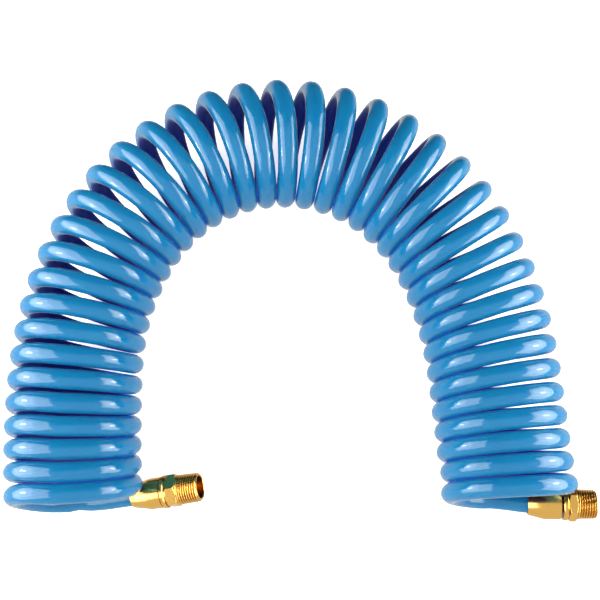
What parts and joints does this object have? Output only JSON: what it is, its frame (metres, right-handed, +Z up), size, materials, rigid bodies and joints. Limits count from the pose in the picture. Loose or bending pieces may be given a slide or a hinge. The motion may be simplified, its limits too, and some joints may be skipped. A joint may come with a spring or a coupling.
{
  "type": "coiled air hose",
  "caption": "Polyurethane recoil air hose in close coils bent into an arch that lies flat, with crimped brass male pipe fittings, rigid at one end and swivelling at the other",
  "frame": {"origin": "on the ground, at the middle of the whole object's outline as it lies flat", "axes": "+X from the rigid end's leg to the swivel end's leg, +Y from the legs' ends towards the crown of the arch, +Z up"},
  "size_m": [0.3367, 0.2608, 0.074],
  "materials": {
    "hose": "glossy, slightly translucent blue polyurethane",
    "brass": "bright turned brass",
    "o_ring": "satin black nitrile rubber",
    "washer": "satin white nylon"
  },
  "bodies": {
    "hose": {"hose_coil": "hose", "hose_tail_rigid": "hose", "hose_tail_swivel": "hose", "rigid_ferrule": "brass", "rigid_fitting_body": "brass", "swivel_ferrule": "brass", "swivel_stem": "brass", "swivel_o_ring": "o_ring"},
    "swivel": {"swivel_adapter": "brass", "swivel_washer": "washer"}
  },
  "joints": [
    {"name": "swivel_spin", "type": "hinge", "parent": "hose", "child": "swivel", "pos_m": [0.1285, -0.1191, 0.0092], "axis": [0.9967, -0.0348, 0.0732], "continuous": true}
  ]
}
